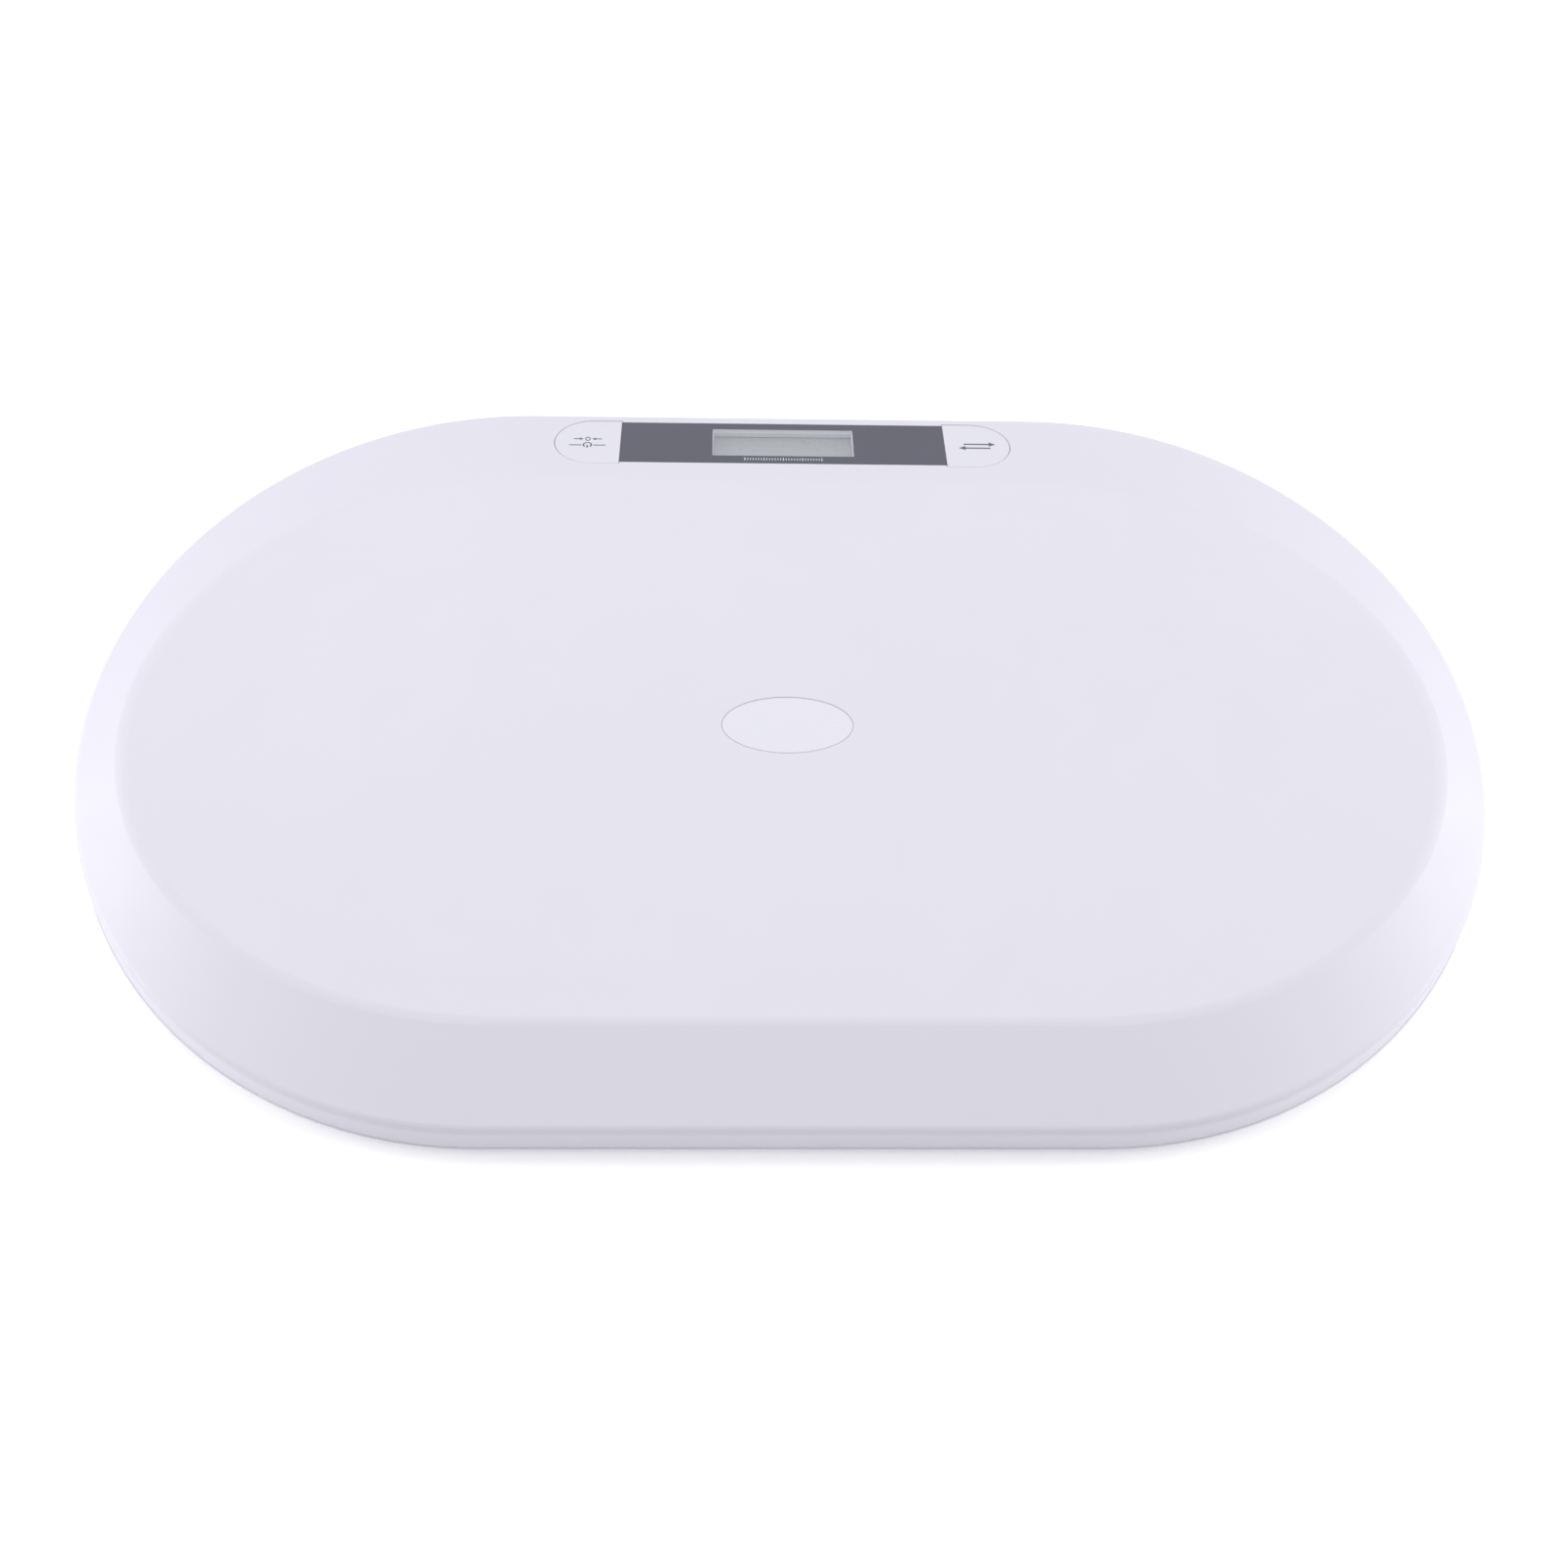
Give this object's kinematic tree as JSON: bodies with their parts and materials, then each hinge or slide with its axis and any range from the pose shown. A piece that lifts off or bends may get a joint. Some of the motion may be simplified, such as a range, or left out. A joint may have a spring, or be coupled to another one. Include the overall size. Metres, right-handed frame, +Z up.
{
  "type": "animal weighing scale",
  "caption": "Low oval electronic scale for small animals, with a raised plateau, sloping sides, a sunk display with push keys at one long side, and sensing feet.",
  "frame": {"origin": "on the floor, under the middle of the scale", "axes": "+Z up; +X along the long side, to the right of a person who reads the display; the display is on the -Y side"},
  "size_m": [0.5576, 0.3446, 0.0271],
  "materials": {
    "white_case": "fine matt ABS moulding",
    "white_tray": "fine matt ABS moulding",
    "white_label": "smooth satin film",
    "blank_label": "plain satin film",
    "key_white": "smooth satin film on ABS",
    "dark_window": "smooth dark acrylic",
    "clear_lens": "clear acrylic",
    "lcd_panel": "reflective grey LCD",
    "inner_plastic": "plain ABS",
    "contact_rubber": "conductive rubber",
    "circuit_board": "solder-masked glass-fibre board",
    "chip_plastic": "moulded epoxy",
    "switch_plastic": "moulded nylon",
    "screw_steel": "zinc plated",
    "spring_steel": "nickel plated",
    "cell_steel": "nickel plated",
    "battery_jacket": "printed shrink sleeve, plain",
    "lead_red": "PVC insulation",
    "lead_grey": "PVC insulation",
    "foot_plastic": "plain ABS",
    "foot_rubber": "soft grey rubber"
  },
  "bodies": {
    "case": {"top_cover": "white_case", "center_label": "white_label", "base_tray": "white_tray", "rating_label": "blank_label", "cover_screws": "screw_steel", "display_window": "dark_window", "display_lens": "clear_lens", "lcd_glass": "lcd_panel", "lcd_frame": "inner_plastic", "lcd_connector_strips": "contact_rubber", "main_board": "circuit_board", "board_chips": "chip_plastic", "board_screws": "screw_steel", "power_switch": "switch_plastic", "unit_switch": "switch_plastic", "batteries": "battery_jacket", "battery_springs": "spring_steel", "battery_plates": "spring_steel", "battery_lead": "lead_red", "sensor_lead_front_right": "lead_grey", "sensor_lead_front_left": "lead_grey", "sensor_lead_rear_right": "lead_grey", "sensor_lead_rear_left": "lead_grey", "sensor_holder_front_right": "inner_plastic", "sensor_holder_front_left": "inner_plastic", "sensor_holder_rear_right": "inner_plastic", "sensor_holder_rear_left": "inner_plastic", "load_cell_front_right": "cell_steel", "load_cell_front_left": "cell_steel", "load_cell_rear_right": "cell_steel", "load_cell_rear_left": "cell_steel", "foot_front_right": "foot_plastic", "foot_front_left": "foot_plastic", "foot_rear_right": "foot_plastic", "foot_rear_left": "foot_plastic", "foot_pad_front_right": "foot_rubber", "foot_pad_front_left": "foot_rubber", "foot_pad_rear_right": "foot_rubber", "foot_pad_rear_left": "foot_rubber"},
    "power_key": {"power_key": "key_white"},
    "unit_key": {"unit_key": "key_white"},
    "battery_door": {"battery_door": "white_tray"}
  },
  "joints": [
    {"name": "power_key_press", "type": "slide", "parent": "case", "child": "power_key", "axis": [0, 0.2302, -0.9732], "range_m": [0, 0.00045], "stiffness_N_per_m": 4000, "springref_m": -0.0001},
    {"name": "unit_key_press", "type": "slide", "parent": "case", "child": "unit_key", "axis": [0, 0.2302, -0.9732], "range_m": [0, 0.00045], "stiffness_N_per_m": 4000, "springref_m": -0.0001},
    {"name": "battery_door_hinge", "type": "hinge", "parent": "case", "child": "battery_door", "pos_m": [0, -0.022, 0.004], "axis": [1, 0, 0], "range_deg": [0, 75]}
  ]
}
